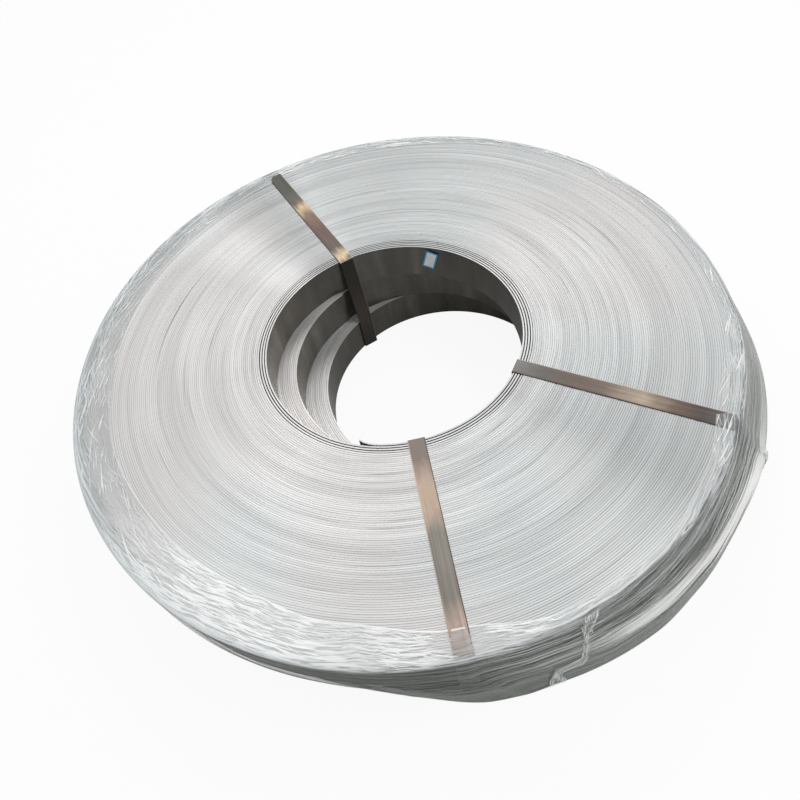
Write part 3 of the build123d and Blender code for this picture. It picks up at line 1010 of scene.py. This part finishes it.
def dress_coil(piece, level, *nodes):
    """Edges on the flat ends, rolled face in the bore, dull last turn outside."""
    piece.data.materials.append(strip_edge_finish(level))
    piece.data.materials.append(strip_wall_finish(level))
    piece.data.materials.append(outer_wall_finish(level))
    assign_by_normal(
        piece, 1, lambda middle, up: abs(up.z) < 0.3 and radius_on(level, middle) < bore_radius + 0.03
    )
    assign_by_normal(
        piece, 2, lambda middle, up: abs(up.z) < 0.3 and radius_on(level, middle) > outer_radius - 0.006
    )
    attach(piece, "root")
    if nodes:
        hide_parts(*nodes)


inner_of_body = bore_radius + loose_pitch * (loose_count + (laid_in_angle - free_end_angle) / (2 * pi))
inner_of_middle = bore_radius + 0.0004  # clear of the CAD wall
top_coil = wound_coil("coil_top_turns", "top", inner_of_body, body_turns, laid_in_angle, 160, 11)
loose_turns = loose_inner_turns()
middle_coil = wound_coil("coil_middle_turns", "middle", inner_of_middle, full_turns, radians(120), 144, 23)
bottom_coil = wound_coil(
    "coil_bottom_turns", "bottom", bore_radius, full_turns, radians(215), 132, 37, both_ends=True
)
dress_coil(top_coil, "top", "coil_top")
dress_coil(loose_turns, "top")
dress_coil(middle_coil, "middle", "coil_middle")
dress_coil(bottom_coil, "bottom", "coil_bottom")

film = wrap_film()
film.data.materials.append(film_finish())
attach(film, "root")
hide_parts("stretch_film")

gathered = gather_finish()
for name, first, last, waist, seed, cut in (
    ("film_tail_front", (0.490, 0.245), (0.455, 0.80), 0.30, 2.0, (0.21, 0.030)),
    ("film_tail_right", (0.600, 0.50), (0.5975, 0.74), 0.45, 7.0, (0.11, 0.027)),
):
    tail = film_gather(name, first, last, waist, seed)
    tail.data.materials.append(gathered)
    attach(tail, "root")


def finish_node(node, material):
    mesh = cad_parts[node].data
    mesh.materials.clear()
    mesh.materials.append(material)


crimped = seal_finish()
for run, shaded_side in (("back_left", 1), ("right", -1), ("front", 1)):
    finish_node(f"strap_{run}", strap_finish(run, strap_tones_and_highlights[run], shaded_side))
    finish_node(f"seal_{run}", crimped)
finish_node("bore_label", label_finish())


# ---- floor, light and camera

floor_level = -0.0004  # a hair under the straps, so that no two faces coincide


def lay_floor():
    """A pale floor that the camera sees as nearly white, with the shadow kept."""
    select_nothing()
    bpy.ops.mesh.primitive_plane_add(size=14, location=(0, 0, floor_level))
    piece = name_piece("floor")
    material, tree, shader = new_material("pale_floor")
    shader.inputs["Base Color"].default_value = (0.86, 0.86, 0.86, 1)
    shader.inputs["Roughness"].default_value = 0.9
    seen = add_node(tree, "ShaderNodeLightPath")
    white = add_node(tree, "ShaderNodeEmission")
    white.inputs["Color"].default_value = (1, 1, 1, 1)
    blend = add_node(tree, "ShaderNodeMixShader")
    share = times(tree, seen.outputs["Is Camera Ray"], 0.92)
    link(tree, share, blend.inputs[0])
    link(tree, shader.outputs[0], blend.inputs[1])
    link(tree, white.outputs[0], blend.inputs[2])
    link(tree, blend.outputs[0], tree.nodes["Material Output"].inputs["Surface"])
    piece.data.materials.append(material)


def light_world():
    """Even light all round, dimmer on the pack than the white that the camera and reflections see."""
    world = bpy.data.worlds.new("studio")
    bpy.context.scene.world = world
    world.use_nodes = True
    tree = world.node_tree
    background = tree.nodes["Background"]
    seen = add_node(tree, "ShaderNodeLightPath")
    direct = plus(tree, seen.outputs["Is Camera Ray"], seen.outputs["Is Transmission Ray"], True)
    shown = larger(tree, direct, seen.outputs["Is Glossy Ray"])
    colour = blend_colours(tree, shown, (0.70, 0.70, 0.70), (1.0, 1.0, 1.0))
    link(tree, colour, background.inputs["Color"])
    background.inputs["Strength"].default_value = 1.0


def hang_lamp(name, place, target, size, power):
    light = bpy.data.lights.new(name, "AREA")
    light.shape = "DISK"
    light.size = size
    light.energy = power
    lamp = bpy.data.objects.new(name, light)
    bpy.context.scene.collection.objects.link(lamp)
    lamp.location = place
    lamp.rotation_euler = (Vector(target) - Vector(place)).to_track_quat("-Z", "Y").to_euler()


camera_place = (-0.0609, -0.9882, 1.3531)
camera_elevation = radians(53.23)
camera_roll = radians(-12.86)
camera_lens = 33.16


def set_camera():
    data = bpy.data.cameras.new("camera")
    data.sensor_width = 36
    data.lens = camera_lens
    data.clip_end = 60
    camera = bpy.data.objects.new("camera", data)
    bpy.context.scene.collection.objects.link(camera)
    turn = Matrix.Rotation(pi / 2 - camera_elevation, 4, "X") @ Matrix.Rotation(camera_roll, 4, "Z")
    camera.matrix_world = Matrix.Translation(camera_place) @ turn
    bpy.context.scene.camera = camera


lay_floor()
light_world()
hang_lamp("key", (0.25, 1.9, 2.9), (0, 0, 0.2), 0.9, 19)
hang_lamp("side_key", (-0.6, 1.9, 2.9), (0, 0, 0.2), 0.6, 6)
hang_lamp("fill", (1.5, -0.5, 2.8), (0, 0, 0.2), 1.2, 19)
set_camera()
bpy.context.scene.view_settings.view_transform = "Standard"
